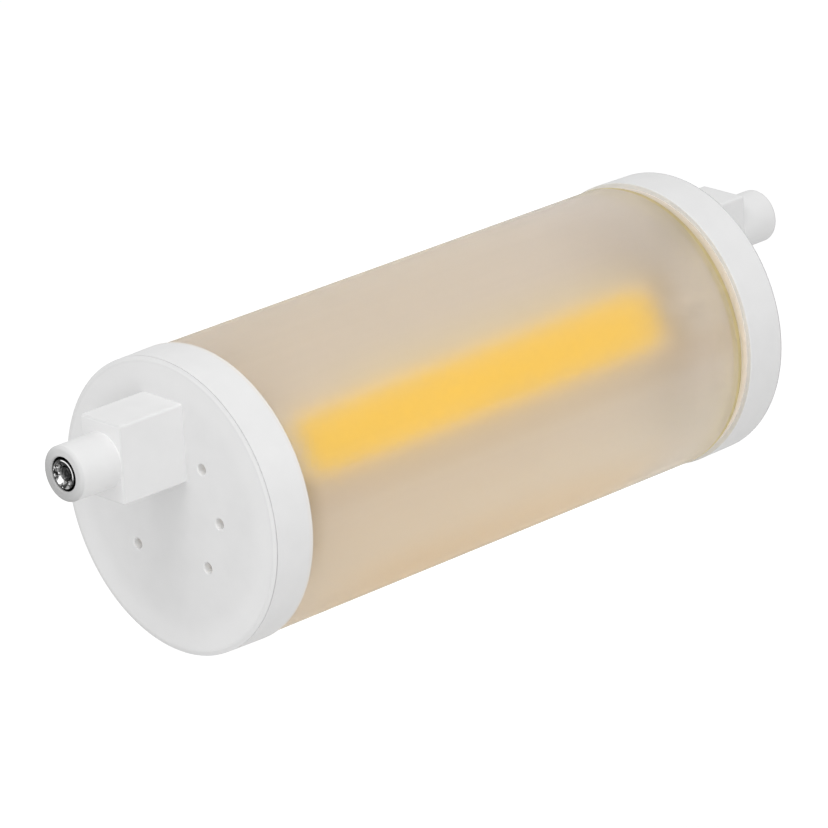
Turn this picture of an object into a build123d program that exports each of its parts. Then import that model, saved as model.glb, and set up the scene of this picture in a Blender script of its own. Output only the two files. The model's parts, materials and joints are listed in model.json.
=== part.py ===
from build123d import *
import os
from math import cos, radians, sin, sqrt

# Double-ended linear LED lamp. The axis of the tube is X, the left end is at -X,
# and the two noses that plug into the lamp holder are offset towards +Z.
# Sizes are in millimetres. Radial places are given as an angle from +Y towards +Z.

# Whole lamp
overall_length = 118.0
tube_radius = 18.25

# End caps: a shallow cup with a square boss, a round nose and vent holes
cap_stand = 0.15
cap_draft = 0.1
cap_depth = 5.85
cap_wall = 1.6
lip_width = 0.5
lip_drop = 0.16
seam_width = 0.14
seam_depth = 0.16
rim_round = 0.12
boss_length = 9.7
boss_width = 6.95
boss_height = 9.8
boss_offset = 8.85
boss_round = 0.28
boss_wall = 1.3
boss_front_wall = 1.6
nose_length = 6.05
nose_side_step = 0.05
nose_round = 0.45
recess_depth = 2.2
recess_chamfer = 0.15
vent_radius = 0.68
vent_circle = 8.75
vent_chamfer = 0.12
vent_angles = (0, 45, 135, 180, 225, 315)

# Diffuser tube with a thinner neck and a seal at each end; its end play is all at the right cap
tube_wall = 1.4
neck_step = 0.5
neck_clearance = 0.05
shoulder_round = 0.2
seal_thickness = 0.4
tube_play = 1.4

# Contacts, turned and riveted over behind the nose
contact_radius = 1.82
contact_gap = 0.31
contact_rim = 0.26
contact_inset = 0.05
dish_depth = 0.5
dome_radius = 0.95
dome_height = 0.55
shank_radius = 1.0
shank_clearance = 0.05
rivet_radius = 1.6
rivet_thickness = 0.5

# Extruded core with three flat lands, carried by a slotted spigot on each cap
land_angles = {"front": 150, "rear": 30, "lower": 270}
core_end_space = 8.4
core_radius = 8.8
core_bore = 7.0
land_width = 9.4
land_reach = 10.8
land_round = 0.3
spigot_clearance = 0.05
spigot_wall = 1.35
spigot_insert = 3.0
slot_width = 2.6

# LED boards, phosphor strips and solder joints; the boards sit towards the left end of the core
led_board_setback = 1.6
led_board_shift = 1.4
led_board_width = 9.0
led_board_thickness = 0.8
phosphor_setback = 2.05
phosphor_width = 7.0
phosphor_height = 0.5
phosphor_corner = 1.6
phosphor_edge = 0.2
solder_length = 1.6
solder_width = 1.9
solder_height = 1.1
solder_round = 0.4
solder_gap = 0.3

# Driver board in its insulating liner
liner_wall = 0.45
liner_clearance = 0.05
driver_end_gap = 1.0
driver_thickness = 1.0
driver_top = 1.2
driver_clearance = 0.03

# Leads
mains_lead_radius = 0.6
led_lead_radius = 0.5
lead_lift = 0.05
lead_landing = 2.5
lead_bend = 2.8
lead_bend_x = 5.0
mains_straight = 1.2
mains_slope = 8.0
mains_bend = 7.0

# Driver components, spread evenly along the board between the ends of the leads
component_lift = 0.05
row_margin = 1.0
pin_radius = 0.3
pin_bend = 0.6
fuse_length = 6.8
fuse_radius = 1.3
fuse_pitch = 10.0
varistor_radius = 3.5
varistor_height = 3.0
rectifier_size = (4.8, 4.0, 2.4)
regulator_size = (6.6, 6.1, 2.3)
regulator_tab = (1.6, 5.2, 0.6)
resistor_size = (3.2, 1.6, 0.6)
resistor_pitch = 4.4
film_size = (7.4, 4.0, 4.6)
can_clearance = 0.55
can_length = 11.5
can_round = 0.5
component_round = 0.3

# How far a cutter runs past the face that it cuts
cut_margin = 1.0

# Places that follow from the sizes above
tip_x = overall_length / 2
boss_x = tip_x - nose_length
face_x = boss_x - boss_length
cap_radius = tube_radius + cap_stand
rim_radius = cap_radius + cap_draft
cap_inside_x = face_x - cap_wall
cap_rim_x = face_x - cap_depth
cavity_x = boss_x - boss_front_wall
recess_x = tip_x - recess_depth
nose_radius = boss_width / 2 - nose_side_step
recess_radius = contact_radius + contact_gap
tube_bore = tube_radius - tube_wall
neck_radius = tube_radius - neck_step
shoulder_x = cap_rim_x - tube_play / 2
seal_x = cap_inside_x - tube_play / 2
neck_end_x = seal_x - seal_thickness
core_end_x = cap_inside_x - core_end_space
spigot_tip_x = core_end_x - spigot_insert
spigot_radius = core_bore - spigot_clearance
spigot_bore = spigot_radius - spigot_wall
led_board_end_x = core_end_x - led_board_setback
led_board_face = land_reach + led_board_thickness
phosphor_end_x = led_board_end_x - phosphor_setback
solder_x = phosphor_end_x + solder_gap
solder_end_x = solder_x + solder_length
liner_radius = core_bore - liner_clearance
liner_bore = liner_radius - liner_wall
driver_end_x = spigot_tip_x - driver_end_gap
driver_under = driver_top - driver_thickness
driver_half_width = sqrt((liner_bore - driver_clearance) ** 2 - driver_top**2)
can_radius = (liner_bore + driver_under - component_lift - can_clearance) / 2
lead_start_x = driver_end_x - lead_landing
lead_turn_x = core_end_x + lead_bend_x
row_end_x = lead_start_x - row_margin


def spread(lengths):
    """Start of each of several pieces laid along the board with equal gaps between them."""
    gap = (2 * row_end_x - sum(lengths)) / (len(lengths) - 1)
    return [-row_end_x + sum(lengths[:place]) + place * gap for place in range(len(lengths))]


regulator_reach = regulator_size[0] + regulator_tab[0]
can_reach = can_length + 2 * pin_bend + pin_radius
top_row = spread([fuse_pitch, 2 * varistor_radius, rectifier_size[0], regulator_reach, resistor_size[0]])
fuse_x, varistor_x, rectifier_x, regulator_x, resistor_x = top_row
film_x, can_x = spread([film_size[0], can_reach])


def revolved(points):
    """Turn a closed outline of (x, radius) points about the lamp's axis."""
    outline = Polyline(*points, close=True)
    return revolve(make_face(outline), Axis.X)


def along_x(radius, start_x, end_x, y=0.0, z=0.0):
    """Round bar along X from start_x to end_x, centred on (y, z)."""
    bar = Cylinder(radius, abs(end_x - start_x), rotation=(0, 90, 0))
    return Pos((start_x + end_x) / 2, y, z) * bar


def block(start_x, end_x, width, low_z, high_z, y=0.0):
    """Box between two X planes and two Z planes, centred on y."""
    box = Box(abs(end_x - start_x), width, high_z - low_z)
    return Pos((start_x + end_x) / 2, y, (low_z + high_z) / 2) * box


def mirrored(solid):
    """The same piece at the other end of the lamp."""
    return mirror(solid, about=Plane.YZ)


def turned(solid, angle):
    """Turn a piece made on the +Z side to face the given angle."""
    return Rot(X=angle - 90) * solid


def radial_point(x, reach, angle):
    """Point at a distance from the axis in the direction of the angle."""
    return (x, reach * cos(radians(angle)), reach * sin(radians(angle)))


def wire(points, radius, bend):
    """Round wire along straight runs joined by tangent arcs."""
    path = FilletPolyline(*points, radius=bend)
    section = Plane(origin=path @ 0, z_dir=path % 0) * Circle(radius)
    return sweep(section, path=path)


def cap_cup():
    """Face, lip, seam line and drafted rim of the right cap, with the bore for the tube's neck."""
    seam_x = face_x - lip_drop
    bore = neck_radius + neck_clearance
    cup = revolved(
        [
            (face_x, 0),
            (face_x, cap_radius - lip_width),
            (seam_x, cap_radius),
            (seam_x, cap_radius - seam_depth),
            (seam_x - seam_width, cap_radius - seam_depth),
            (seam_x - seam_width, cap_radius),
            (cap_rim_x, rim_radius),
            (cap_rim_x, bore),
            (cap_inside_x, bore),
            (cap_inside_x, 0),
        ]
    )
    rim_edge = cup.edges().filter_by(GeomType.CIRCLE).sort_by(SortBy.RADIUS)[-1]
    return fillet(rim_edge, rim_round)


def cap_boss():
    """Square boss with soft edges, and the round nose that stands on it."""
    root_x = face_x - cap_wall / 2
    boss = block(root_x, boss_x, boss_width, boss_offset - boss_height / 2, boss_offset + boss_height / 2)
    root_edges = boss.edges().group_by(Axis.X)[0]
    soft_edges = [edge for edge in boss.edges() if edge not in root_edges]
    boss = fillet(soft_edges, boss_round)
    nose = along_x(nose_radius, boss_x - boss_front_wall / 2, tip_x, z=boss_offset)
    nose = fillet(nose.edges().group_by(Axis.X)[-1], nose_round)
    return boss + nose


def cap_passages():
    """What is cut from the cap: boss cavity, shank bore, contact recess and vents."""
    half_height = boss_height / 2 - boss_wall
    cavity = block(
        cap_inside_x - cap_wall,
        cavity_x,
        boss_width - 2 * boss_wall,
        boss_offset - half_height,
        boss_offset + half_height,
    )
    bore = along_x(shank_radius + shank_clearance, cavity_x - cut_margin, tip_x, z=boss_offset)
    recess = along_x(recess_radius, recess_x, tip_x + cut_margin, z=boss_offset)
    flare = Pos(tip_x - recess_chamfer / 2, 0, boss_offset) * Cone(
        recess_radius,
        recess_radius + recess_chamfer,
        recess_chamfer,
        rotation=(0, 90, 0),
    )
    cuts = cavity + bore + recess + flare
    for angle in vent_angles:
        _, y, z = radial_point(0, vent_circle, angle)
        cuts += along_x(vent_radius, cap_inside_x - cut_margin, face_x + cut_margin, y, z)
        mouth = Cone(vent_radius, vent_radius + vent_chamfer, vent_chamfer, rotation=(0, 90, 0))
        cuts += Pos(face_x - vent_chamfer / 2, y, z) * mouth
    return cuts


def cap_spigot():
    """Four legs that carry the core: a ring slotted where the leads pass."""
    root_x = cap_inside_x + cap_wall / 2
    ring = along_x(spigot_radius, spigot_tip_x, root_x) - along_x(spigot_bore, spigot_tip_x, root_x)
    for angle in (90, *land_angles.values()):
        slot = block(spigot_tip_x, cap_inside_x, slot_width, 0, spigot_radius + cut_margin)
        ring -= turned(slot, angle)
    return ring


def end_cap():
    """The right end cap, moulded in one piece."""
    return cap_cup() + cap_boss() + cap_spigot() - cap_passages()


def seated(solid):
    """Move the tube, or a seal on it, from the middle of its play up against the left cap."""
    return Pos(-tube_play / 2, 0, 0) * solid


def diffuser_tube():
    """Frosted tube with a thinner neck at each end, where the caps slide on."""
    tube = revolved(
        [
            (-neck_end_x, tube_bore),
            (-neck_end_x, neck_radius),
            (-shoulder_x, neck_radius),
            (-shoulder_x, tube_radius),
            (shoulder_x, tube_radius),
            (shoulder_x, neck_radius),
            (neck_end_x, neck_radius),
            (neck_end_x, tube_bore),
        ]
    )
    shoulders = tube.edges().filter_by(GeomType.CIRCLE).group_by(SortBy.RADIUS)[-1]
    return fillet(shoulders, shoulder_round)


def tube_seal():
    """Silicone ring on the end of the right neck."""
    return along_x(neck_radius, neck_end_x, seal_x) - along_x(tube_bore, neck_end_x, seal_x)


def contact():
    """Right contact: rim, dish and dome in front, shank and riveted tail behind."""
    top_x = tip_x - contact_inset
    dish_x = top_x - dish_depth
    rivet_x = cavity_x - rivet_thickness
    dome = EllipticalCenterArc((dish_x, 0), dome_height, dome_radius, arc_size=90)
    rest = Polyline(
        dome @ 1,
        (dish_x, contact_radius - 2 * contact_rim),
        (top_x, contact_radius - contact_rim),
        (top_x, contact_radius),
        (recess_x, contact_radius),
        (recess_x, shank_radius),
        (cavity_x, shank_radius),
        (cavity_x, rivet_radius),
        (rivet_x, rivet_radius),
        (rivet_x, 0),
        dome @ 0,
    )
    turned_pin = revolve(make_face(Curve() + [dome, rest]), Axis.X)
    return Pos(0, 0, boss_offset) * turned_pin


def heat_sink_core():
    """Round tube with three flat lands, one extrusion."""
    section = Sketch() + Circle(core_radius)
    for angle in land_angles.values():
        land = Pos(land_reach / 2, 0) * Rectangle(land_reach, land_width)
        section += Rot(Z=angle) * land
    corners = section.vertices().filter_by(lambda v: Vector(v.X, v.Y).length > land_reach)
    section = fillet(corners, land_round) - Circle(core_bore)
    return extrude(Plane.YZ * section, core_end_x, both=True)


def on_land(solid, angle):
    """Move a piece made on the +Z side to the boards' place along the core, on the land at the angle."""
    return Pos(-led_board_shift, 0, 0) * turned(solid, angle)


def led_board():
    """Carrier of one strip, on the +Z side."""
    return block(-led_board_end_x, led_board_end_x, led_board_width, land_reach, led_board_face)


def phosphor_strip():
    """Cast phosphor over the LED chips of one board, on the +Z side."""
    outline = RectangleRounded(2 * phosphor_end_x, phosphor_width, phosphor_corner)
    strip = extrude(Pos(0, 0, led_board_face) * outline, phosphor_height)
    return fillet(strip.edges().group_by(Axis.Z)[-1], phosphor_edge)


def solder_joint():
    """Solder on the right pad of one board, on the +Z side."""
    joint = block(solder_x, solder_end_x, solder_width, led_board_face, led_board_face + solder_height)
    return fillet(joint.edges().group_by(Axis.Z)[-1], solder_round)


def led_lead(angle, start_reach, pad_x):
    """Lead from the driver board, out past the core's right end and back to the solder at pad_x."""
    pad_reach = led_board_face + led_lead_radius + lead_lift
    points = [
        radial_point(lead_start_x, start_reach, angle),
        radial_point(lead_turn_x, start_reach, angle),
        radial_point(lead_turn_x, pad_reach, angle),
        radial_point(pad_x, pad_reach, angle),
    ]
    return wire(points, led_lead_radius, lead_bend)


def mains_lead():
    """Lead from the right contact's tail, through the boss, down to the driver board."""
    landing_z = driver_top + mains_lead_radius + lead_lift
    high_x = cap_inside_x + mains_straight
    points = [
        (cavity_x - rivet_thickness, 0, boss_offset),
        (high_x, 0, boss_offset),
        (high_x - mains_slope, 0, landing_z),
        (lead_start_x, 0, landing_z),
    ]
    return wire(points, mains_lead_radius, mains_bend)


def insulating_liner():
    """Thin plastic tube between the driver board and the core."""
    return along_x(liner_radius, -spigot_tip_x, spigot_tip_x) - along_x(liner_bore, -spigot_tip_x, spigot_tip_x)


def driver_board():
    """Circuit board held by its edges in the liner."""
    return block(-driver_end_x, driver_end_x, 2 * driver_half_width, driver_under, driver_top)


def top_block(size, x, y=0.0):
    """Moulded component standing on the driver board."""
    length, width, height = size
    body = block(x, x + length, width, driver_top, driver_top + height, y)
    return fillet(body.edges().group_by(Axis.Z)[-1], component_round / 2)


def fuse_resistor():
    """Round resistor lying above the board, on its two bent leads."""
    centre_z = driver_top + fuse_radius + component_lift
    start_x = fuse_x + pin_radius
    end_x = fuse_x + fuse_pitch - pin_radius
    body_x = fuse_x + (fuse_pitch - fuse_length) / 2
    body = along_x(fuse_radius, body_x, body_x + fuse_length, z=centre_z)
    body = fillet(body.edges(), component_round)
    leads = [(start_x, 0, driver_top), (start_x, 0, centre_z), (end_x, 0, centre_z), (end_x, 0, driver_top)]
    return body + wire(leads, pin_radius, pin_bend)


def varistor():
    """Flat disc that clips mains surges."""
    centre = (varistor_x + varistor_radius, 0, driver_top + varistor_height / 2)
    disc = Pos(*centre) * Cylinder(varistor_radius, varistor_height)
    return fillet(disc.edges().group_by(Axis.Z)[-1], component_round)


def current_regulator():
    """Power package with its soldered tab."""
    body = top_block(regulator_size, regulator_x)
    tab_length, tab_width, tab_height = regulator_tab
    tab_x = regulator_x + regulator_size[0]
    return body + block(tab_x, tab_x + tab_length, tab_width, driver_top, driver_top + tab_height)


def sense_resistors():
    """Two chip resistors side by side."""
    return Compound([top_block(resistor_size, resistor_x, side * resistor_pitch / 2) for side in (-1, 1)])


def film_capacitor():
    """Boxed capacitor under the board."""
    length, width, height = film_size
    body = block(film_x, film_x + length, width, driver_under - height, driver_under)
    return fillet(body.edges().group_by(Axis.Z)[0], component_round)


def smoothing_capacitor():
    """Round can lying under the board, on two bent leads."""
    centre_z = driver_under - can_radius - component_lift
    end_x = can_x + can_length
    pin_x = end_x + 2 * pin_bend
    can = along_x(can_radius, can_x, end_x, z=centre_z)
    can = fillet(can.edges(), can_round)
    for side in (-1, 1):
        y = side * can_radius / 2
        pin = [(end_x - can_round, y, centre_z), (pin_x, y, centre_z), (pin_x, y, driver_under)]
        can += wire(pin, pin_radius, pin_bend)
    return can


nodes = {
    "diffuser_tube": seated(diffuser_tube()),
    "end_cap_right": end_cap(),
    "contact_right": contact(),
    "mains_lead_right": mains_lead(),
    "heat_sink_core": heat_sink_core(),
    "insulating_liner": insulating_liner(),
    "driver_board": driver_board(),
    "fuse_resistor": fuse_resistor(),
    "varistor": varistor(),
    "bridge_rectifier": top_block(rectifier_size, rectifier_x),
    "current_regulator": current_regulator(),
    "sense_resistors": sense_resistors(),
    "film_capacitor": film_capacitor(),
    "smoothing_capacitor": smoothing_capacitor(),
}
for name in ("end_cap", "contact", "mains_lead"):
    nodes[f"{name}_left"] = mirrored(nodes[f"{name}_right"])
upper_start = (driver_top + led_lead_radius + lead_lift) / sin(radians(land_angles["front"]))
lower_start = led_lead_radius + lead_lift - driver_under
for side, angle in land_angles.items():
    start_reach = lower_start if side == "lower" else upper_start
    nodes[f"led_board_{side}"] = on_land(led_board(), angle)
    nodes[f"phosphor_strip_{side}"] = on_land(phosphor_strip(), angle)
    nodes[f"led_lead_{side}_right"] = led_lead(angle, start_reach, solder_end_x - led_board_shift)
    nodes[f"led_lead_{side}_left"] = mirrored(led_lead(angle, start_reach, solder_end_x + led_board_shift))
right_joints = [on_land(solder_joint(), angle) for angle in land_angles.values()]
left_joints = [on_land(mirrored(solder_joint()), angle) for angle in land_angles.values()]
nodes["solder_joints_right"] = Compound(right_joints)
nodes["solder_joints_left"] = Compound(left_joints)
nodes["tube_seal_right"] = seated(tube_seal())
nodes["tube_seal_left"] = seated(mirrored(tube_seal()))

os.makedirs("parts", exist_ok=True)
for name, solid in nodes.items():
    export_step(solid, f"parts/{name}.step")
print(len(nodes), "nodes, nose radius", round(nose_radius, 3), "driver width", round(2 * driver_half_width, 2))
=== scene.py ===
# %% [markdown]
# A linear LED lamp is a frosted tube between two white moulded caps, with an LED core inside
# that shows through the wall as a soft yellow bar. The solids of all its pieces come ready made
# in the frame, in metres, so this lesson adds what they lack: smooth turned surfaces for the
# tube and the contacts, a finish for every piece, plain studio light and a camera.

# %% Load the frame
import json
from math import cos, pi, radians, sin

import bpy
import numpy as np
from mathutils import Matrix, Vector


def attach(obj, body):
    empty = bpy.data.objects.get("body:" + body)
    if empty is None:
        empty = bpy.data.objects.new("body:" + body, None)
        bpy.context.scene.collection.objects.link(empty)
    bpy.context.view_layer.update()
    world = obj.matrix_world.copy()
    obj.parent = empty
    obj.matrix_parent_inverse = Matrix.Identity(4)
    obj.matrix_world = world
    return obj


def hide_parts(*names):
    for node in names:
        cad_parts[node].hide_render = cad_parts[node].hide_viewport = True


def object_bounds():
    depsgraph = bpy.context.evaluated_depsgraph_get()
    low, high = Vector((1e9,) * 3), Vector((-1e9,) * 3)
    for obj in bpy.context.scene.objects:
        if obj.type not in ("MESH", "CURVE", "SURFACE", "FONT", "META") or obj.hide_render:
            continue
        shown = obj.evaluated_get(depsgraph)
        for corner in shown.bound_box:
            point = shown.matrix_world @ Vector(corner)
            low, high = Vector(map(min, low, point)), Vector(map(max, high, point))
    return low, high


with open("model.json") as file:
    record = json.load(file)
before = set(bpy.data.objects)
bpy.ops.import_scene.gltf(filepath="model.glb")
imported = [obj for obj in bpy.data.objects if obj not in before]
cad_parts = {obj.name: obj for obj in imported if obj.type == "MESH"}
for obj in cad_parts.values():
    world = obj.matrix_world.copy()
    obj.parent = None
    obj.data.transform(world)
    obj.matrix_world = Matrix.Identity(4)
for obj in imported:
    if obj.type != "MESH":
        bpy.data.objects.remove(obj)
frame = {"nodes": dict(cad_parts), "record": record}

MM = 0.001
nodes = frame["nodes"]
scene = bpy.context.scene
scene.view_settings.view_transform = "Standard"
cad_low, cad_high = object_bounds()
cad_size = [round(side / MM, 2) for side in cad_high - cad_low]
print(len(nodes), "pieces, the lamp measures", cad_size, "mm")

# %% [markdown]
# The portrait is taken with a long lens from above the near left end, and the camera leans a
# little to one side. An azimuth, an elevation and a distance place it on a sphere around the
# lamp, which is easier to read than three coordinates. The lens is given by its focal length in
# pixels of a square picture, and Blender wants it in millimetres on a 36 mm sensor.

# %% Place the camera
PICTURE_SIDE = 828
FOCAL_PIXELS = 5723
SENSOR_WIDTH = 36.0
CLIP_START = 10 * MM
camera_azimuth = radians(-43.14)
camera_elevation = radians(20.46)
camera_roll = radians(-2.92)
camera_distance = 700.1 * MM
aim_right = -2.24 * MM
aim_up = -1.01 * MM

back = Vector(
    (
        sin(camera_azimuth) * cos(camera_elevation),
        -cos(camera_azimuth) * cos(camera_elevation),
        sin(camera_elevation),
    )
)
level_right = Vector((0, 0, 1)).cross(back).normalized()
level_up = back.cross(level_right)
right = level_right * cos(camera_roll) + level_up * sin(camera_roll)
up = level_up * cos(camera_roll) - level_right * sin(camera_roll)
aim = right * aim_right + up * aim_up

lens = bpy.data.cameras.new("portrait_lens")
lens.sensor_width = SENSOR_WIDTH
lens.lens = FOCAL_PIXELS * SENSOR_WIDTH / PICTURE_SIDE
lens.clip_start = CLIP_START
camera = bpy.data.objects.new("portrait_camera", lens)
turn = Matrix((right, up, back)).transposed().to_4x4()
camera.matrix_world = Matrix.Translation(aim + back * camera_distance) @ turn
scene.collection.objects.link(camera)
scene.camera = camera
camera_place = [round(value / MM, 1) for value in camera.matrix_world.translation]
print("camera at", camera_place, "mm, lens", round(lens.lens, 1), "mm")

# %% [markdown]
# A product picture wants a pure white ground, and more light would get it at the price of a
# burnt-out lamp. Instead, the world is made to answer two questions differently. A ray from the
# camera, from a mirror or through glass sees white. A ray that asks for light gets a gentler
# white. The Light Path node tells these rays apart, and stays in the material or world itself.

# %% Light from all around
AMBIENT_STRENGTH = 0.65


def calc(tree, operation, *values):
    """A Math node; each value is a number or the socket that feeds it. Gives its output."""
    node = tree.nodes.new("ShaderNodeMath")
    node.operation = operation
    for place, value in enumerate(values):
        if isinstance(value, bpy.types.NodeSocket):
            tree.links.new(value, node.inputs[place])
        else:
            node.inputs[place].default_value = value
    return node.outputs[0]


def grey(value):
    """A neutral colour."""
    return (value, value, value, 1.0)


def seen_rays(tree):
    """1 on rays from the camera, from mirrors and through glass, and 0 on other rays."""
    rays = tree.nodes.new("ShaderNodeLightPath").outputs
    mirror_or_glass = calc(tree, "MAXIMUM", rays["Is Glossy Ray"], rays["Is Transmission Ray"])
    return calc(tree, "MAXIMUM", rays["Is Camera Ray"], mirror_or_glass)


def studio_world():
    """White where it is looked at, and a gentler white where it lights the lamp."""
    world = bpy.data.worlds.new("studio")
    world.use_nodes = True
    tree = world.node_tree
    light = tree.nodes["Background"]
    light.inputs["Color"].default_value = grey(1.0)
    strength = tree.nodes.new("ShaderNodeMapRange")
    strength.inputs["To Min"].default_value = AMBIENT_STRENGTH
    strength.inputs["To Max"].default_value = 1.0
    tree.links.new(seen_rays(tree), strength.inputs["Value"])
    tree.links.new(strength.outputs["Result"], light.inputs["Strength"])
    return world


scene.world = studio_world()
print("world light", AMBIENT_STRENGTH, "and white where it is seen")

# %% [markdown]
# The lamp is made to hang between two holders, so the floor lies some way below it, where it
# sends light up to the underside. A diffuse floor takes the lamp's shadow, but in this light it
# stays a little grey. A faint glow that only the seen rays meet lifts it to white, and adds no
# light to the lamp.

# %% Floor
FLOOR_DROP = 60 * MM
FLOOR_REFLECTANCE = 0.80
FLOOR_GLOW = 0.42
FLOOR_SIDE = 6.0


def floor_finish():
    """Diffuse white that takes shadows, with the faint glow."""
    material = bpy.data.materials.new("floor_white")
    material.use_nodes = True
    tree = material.node_tree
    tree.nodes.remove(tree.nodes["Principled BSDF"])
    diffuse = tree.nodes.new("ShaderNodeBsdfDiffuse")
    diffuse.inputs["Color"].default_value = grey(FLOOR_REFLECTANCE)
    glow = tree.nodes.new("ShaderNodeEmission")
    strength = calc(tree, "MULTIPLY", seen_rays(tree), FLOOR_GLOW)
    tree.links.new(strength, glow.inputs["Strength"])
    both = tree.nodes.new("ShaderNodeAddShader")
    tree.links.new(diffuse.outputs[0], both.inputs[0])
    tree.links.new(glow.outputs[0], both.inputs[1])
    tree.links.new(both.outputs[0], tree.nodes["Material Output"].inputs["Surface"])
    return material


def studio_floor(height):
    """A level square sheet around the lamp's middle."""
    half = FLOOR_SIDE / 2
    corners = [(x * half, y * half, height) for x, y in ((-1, -1), (1, -1), (1, 1), (-1, 1))]
    sheet = bpy.data.meshes.new("floor")
    sheet.from_pydata(corners, [], [(0, 1, 2, 3)])
    sheet.materials.append(floor_finish())
    floor = bpy.data.objects.new("studio_floor", sheet)
    scene.collection.objects.link(floor)


studio_floor(cad_low.z - FLOOR_DROP)
print("floor", FLOOR_DROP / MM, "mm below the lamp")

# %% [markdown]
# Light from all around shows colours well but forms poorly, so two soft boxes add a direction.
# One stands above the near end and one, wider, over the camera. They are weak: a white cap has
# to stay short of pure white, or its edges would be lost on the white ground.

# %% Soft boxes
SOFT_BOXES = {
    "top_softbox": {"place": Vector((-0.38, -0.10, 0.65)), "side": 0.4, "watts": 1.5},
    "front_softbox": {"place": Vector((-0.30, -0.66, 0.36)), "side": 0.6, "watts": 1.6},
}


def soft_box(name, place, side, watts):
    """A square area light, turned to face the lamp."""
    lamp = bpy.data.lights.new(name, "AREA")
    lamp.energy = watts
    lamp.size = side
    box = bpy.data.objects.new(name, lamp)
    box.location = place
    box.rotation_euler = place.to_track_quat("Z", "Y").to_euler()
    scene.collection.objects.link(box)


for box_name, settings in SOFT_BOXES.items():
    soft_box(box_name, **settings)
    print(box_name, settings["watts"], "W")

# %% [markdown]
# Moulded, cast and dipped pieces are never one flat colour: they have faint clouds where the
# material flowed, and a grain from the tool's surface. A picture could be wrapped around them,
# but noise that reads the place of a point needs no unwrapping and has no seam. Many finishes
# need the same clouds, so they are a node group, built once and used with other values.

# %% Helpers for the node groups
def new_group(name, inputs, outputs):
    """A shader node group with named sockets; gives the group, its way in and its way out."""
    group = bpy.data.node_groups.new(name, "ShaderNodeTree")
    for socket, kind in inputs.items():
        group.interface.new_socket(name=socket, in_out="INPUT", socket_type=kind)
    for socket, kind in outputs.items():
        group.interface.new_socket(name=socket, in_out="OUTPUT", socket_type=kind)
    return group, group.nodes.new("NodeGroupInput"), group.nodes.new("NodeGroupOutput")


def object_point(tree):
    """The point of the surface, in metres in the lamp's own frame."""
    return tree.nodes.new("ShaderNodeTexCoord").outputs["Object"]


def noise(tree, vector, scale, detail):
    """Soft noise from 0 to 1 at a vector; the scale is a number or a socket."""
    node = tree.nodes.new("ShaderNodeTexNoise")
    node.inputs["Detail"].default_value = detail
    tree.links.new(vector, node.inputs["Vector"])
    if isinstance(scale, bpy.types.NodeSocket):
        tree.links.new(scale, node.inputs["Scale"])
    else:
        node.inputs["Scale"].default_value = scale
    return node.outputs["Fac"]


def swing(tree, pattern, change):
    """A factor around 1 for a pattern from 0 to 1: 1 + change * (2 * pattern - 1)."""
    centred = calc(tree, "MULTIPLY_ADD", pattern, 2.0, -1.0)
    return calc(tree, "MULTIPLY_ADD", centred, change, 1.0)


def scaled_colour(tree, colour, factor):
    """A colour made lighter or darker by a factor."""
    node = tree.nodes.new("ShaderNodeVectorMath")
    node.operation = "SCALE"
    tree.links.new(colour, node.inputs[0])
    tree.links.new(factor, node.inputs["Scale"])
    return node.outputs["Vector"]


# %% Clouds and grain
FLOAT = "NodeSocketFloat"
COLOUR = "NodeSocketColor"
CLOUD_DETAIL = 3.0
GRAIN_DETAIL = 2.0
CLOUD_HEIGHT = 2.0


def mottle_group():
    """Clouds in the colour, a fine grain in the roughness, and both as a height."""
    inputs = {
        "Colour": COLOUR,
        "Colour Change": FLOAT,
        "Cloud Scale": FLOAT,
        "Roughness": FLOAT,
        "Roughness Change": FLOAT,
        "Grain Scale": FLOAT,
    }
    outputs = {"Colour": COLOUR, "Roughness": FLOAT, "Height": FLOAT}
    group, way_in, way_out = new_group("mottle", inputs, outputs)
    given = way_in.outputs
    point = object_point(group)
    cloud = noise(group, point, given["Cloud Scale"], CLOUD_DETAIL)
    grain = noise(group, point, given["Grain Scale"], GRAIN_DETAIL)
    shade = swing(group, cloud, given["Colour Change"])
    gloss = swing(group, grain, given["Roughness Change"])
    rough = calc(group, "MULTIPLY", given["Roughness"], gloss)
    height = calc(group, "MULTIPLY_ADD", cloud, CLOUD_HEIGHT, grain)
    clouded = scaled_colour(group, given["Colour"], shade)
    group.links.new(clouded, way_out.inputs["Colour"])
    group.links.new(rough, way_out.inputs["Roughness"])
    group.links.new(height, way_out.inputs["Height"])
    return group


MOTTLE = mottle_group()
print("group", MOTTLE.name, "with", len(MOTTLE.nodes), "nodes")

# %% [markdown]
# Drawn and extruded pieces have fine lines along their length. The same noise gives them when
# the point's X is made smaller first: a cloud is then many times longer than it is wide.

# %% Streaks
STREAK_DETAIL = 4.0


def streak_group():
    """Fine lines along X, from 0 to 1."""
    inputs = {"Scale": FLOAT, "Stretch": FLOAT}
    group, way_in, way_out = new_group("streaks", inputs, {"Streak": FLOAT})
    parts = group.nodes.new("ShaderNodeSeparateXYZ")
    group.links.new(object_point(group), parts.inputs[0])
    short_x = calc(group, "DIVIDE", parts.outputs["X"], way_in.outputs["Stretch"])
    squeezed = group.nodes.new("ShaderNodeCombineXYZ")
    group.links.new(short_x, squeezed.inputs["X"])
    group.links.new(parts.outputs["Y"], squeezed.inputs["Y"])
    group.links.new(parts.outputs["Z"], squeezed.inputs["Z"])
    streak = noise(group, squeezed.outputs[0], way_in.outputs["Scale"], STREAK_DETAIL)
    group.links.new(streak, way_out.inputs["Streak"])
    return group


STREAKS = streak_group()
print("group", STREAKS.name, "with", len(STREAKS.nodes), "nodes")

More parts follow.
